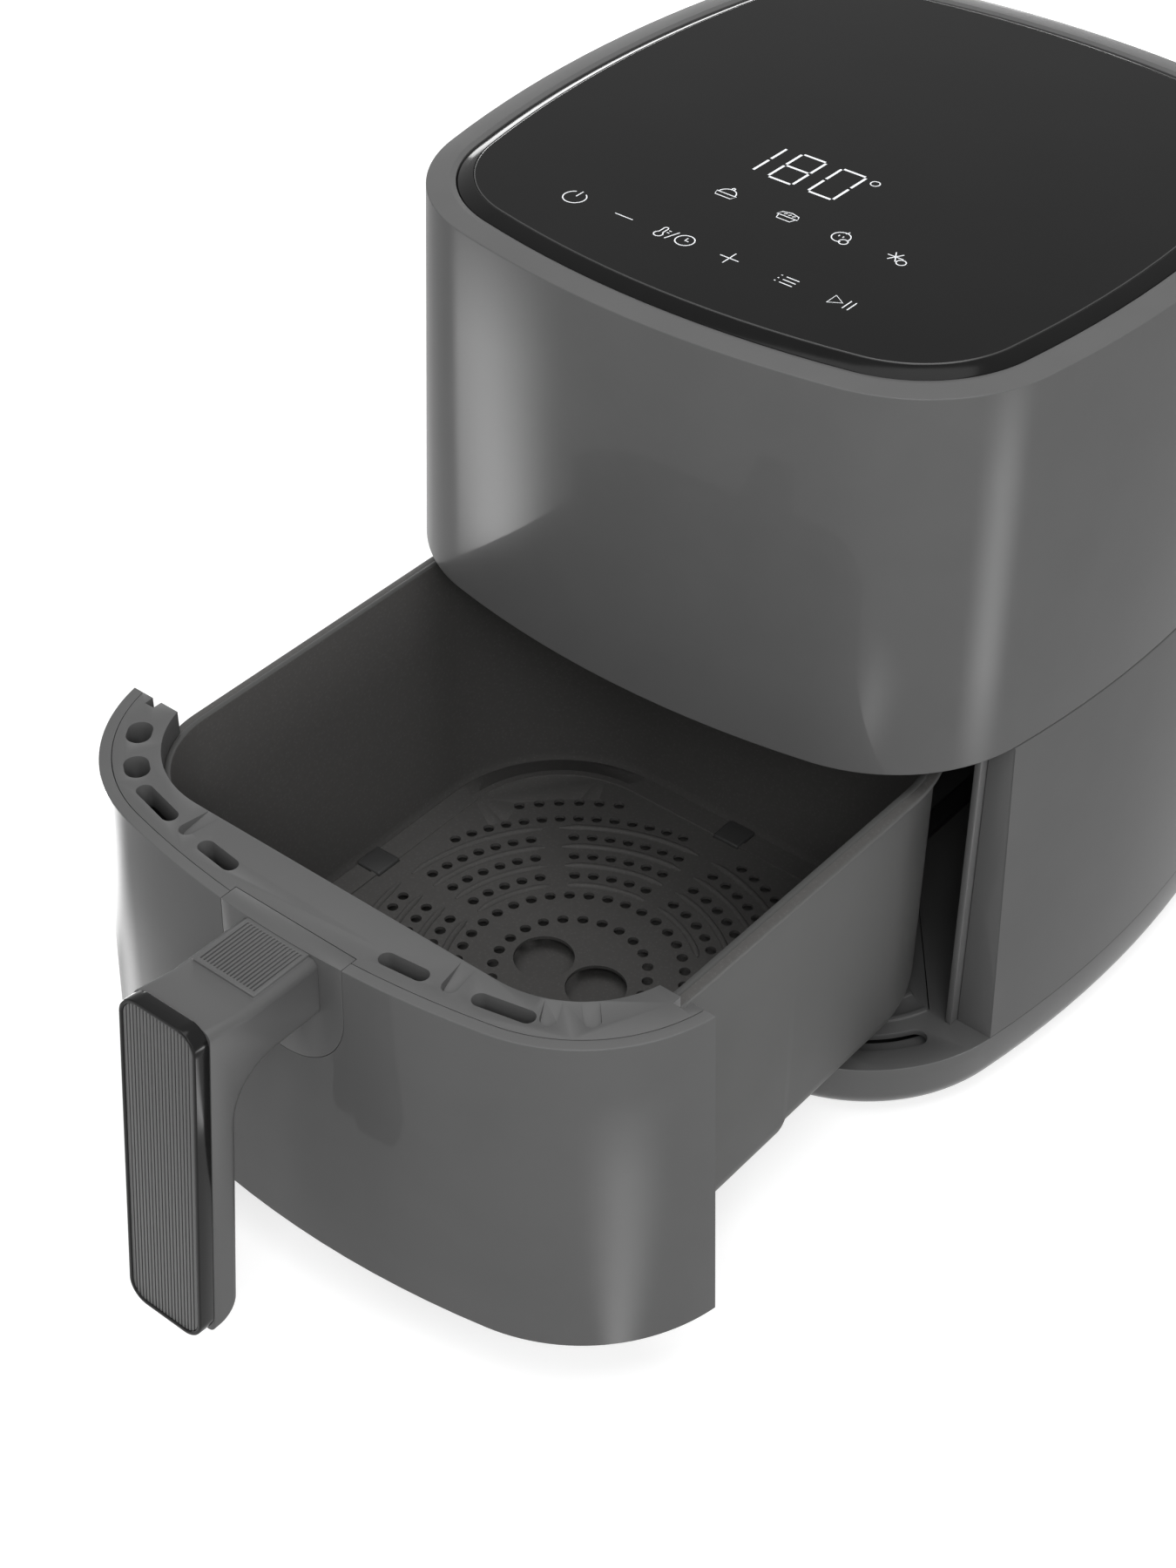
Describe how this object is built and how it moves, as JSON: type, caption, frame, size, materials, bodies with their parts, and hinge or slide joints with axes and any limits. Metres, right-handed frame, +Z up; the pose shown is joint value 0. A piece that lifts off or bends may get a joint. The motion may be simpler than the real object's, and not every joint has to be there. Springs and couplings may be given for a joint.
{
  "type": "air fryer",
  "caption": "Tabletop air fryer in dark grey with a black glass touch panel and its basket drawer pulled out, showing a perforated crisper plate, a slotted flange and a drop handle.",
  "frame": {"origin": "middle of the underside of the box round the part with its drawer pulled out as pictured, on the worktop", "axes": "+Z up, -Y towards the user and the way the drawer pulls out, +X to the right seen from the front"},
  "size_m": [0.3018, 0.5613, 0.3278],
  "materials": {
    "shell_grey": "satin dark grey",
    "inner_black": "matt black",
    "gloss_black": "gloss black",
    "touch_glass": "black-backed gloss glass",
    "insert_grey": "ribbed grey",
    "basket_coat": "dark non-stick coating on aluminium",
    "rubber_black": "matt rubber",
    "steel": "plain steel",
    "sheet_steel": "rolled sheet",
    "sheet_aluminium": "stamped sheet",
    "motor_paint": "dull grey paint",
    "board_green": "green board lacquer"
  },
  "bodies": {
    "housing": {"base_tray": "shell_grey", "bottom_cover": "inner_black", "feet": "rubber_black", "base_screws": "steel", "lower_shell": "shell_grey", "housing_screws": "steel", "cavity_liner": "inner_black", "left_runner": "inner_black", "right_runner": "inner_black", "cord_gland": "rubber_black", "upper_shell": "shell_grey", "rear_vent": "inner_black", "top_bezel": "gloss_black", "glass_panel": "touch_glass", "panel_carrier": "inner_black", "display_board": "board_green", "display_module": "inner_black", "mid_frame": "inner_black", "heating_chamber": "sheet_steel", "heating_element": "steel", "heater_brackets": "steel", "exhaust_duct": "sheet_steel", "fan_motor": "motor_paint", "motor_bracket": "sheet_steel", "power_board": "board_green", "board_posts": "inner_black", "board_components": "inner_black", "temperature_sensor": "steel", "thermal_fuse": "steel", "drawer_switch": "inner_black"},
    "rotor": {"hot_air_fan": "sheet_aluminium", "cooling_fan": "sheet_aluminium", "motor_shaft": "steel"},
    "drawer": {"drawer_front": "shell_grey", "drawer_flange": "shell_grey", "basket": "basket_coat", "handle_mount": "shell_grey", "handle_screws": "steel", "handle_body": "shell_grey", "handle_bezel": "gloss_black", "handle_insert": "insert_grey"},
    "crisper": {"crisper_plate": "basket_coat", "crisper_bumpers": "rubber_black"},
    "plunger": {"switch_plunger": "inner_black"}
  },
  "joints": [
    {"name": "drawer_slide", "type": "slide", "parent": "housing", "child": "drawer", "axis": [0, 1, 0], "range_m": [-0.0354, 0.17756]},
    {"name": "crisper_lift", "type": "slide", "parent": "drawer", "child": "crisper", "axis": [0, 0, 1], "range_m": [0, 0.11]},
    {"name": "fan_spin", "type": "hinge", "parent": "housing", "child": "rotor", "pos_m": [0, 0.11948, 0.25], "axis": [0, 0, 1], "continuous": true},
    {"name": "switch_press", "type": "slide", "parent": "housing", "child": "plunger", "axis": [0, 1, 0], "range_m": [0, 0.002], "stiffness_N_per_m": 200}
  ]
}
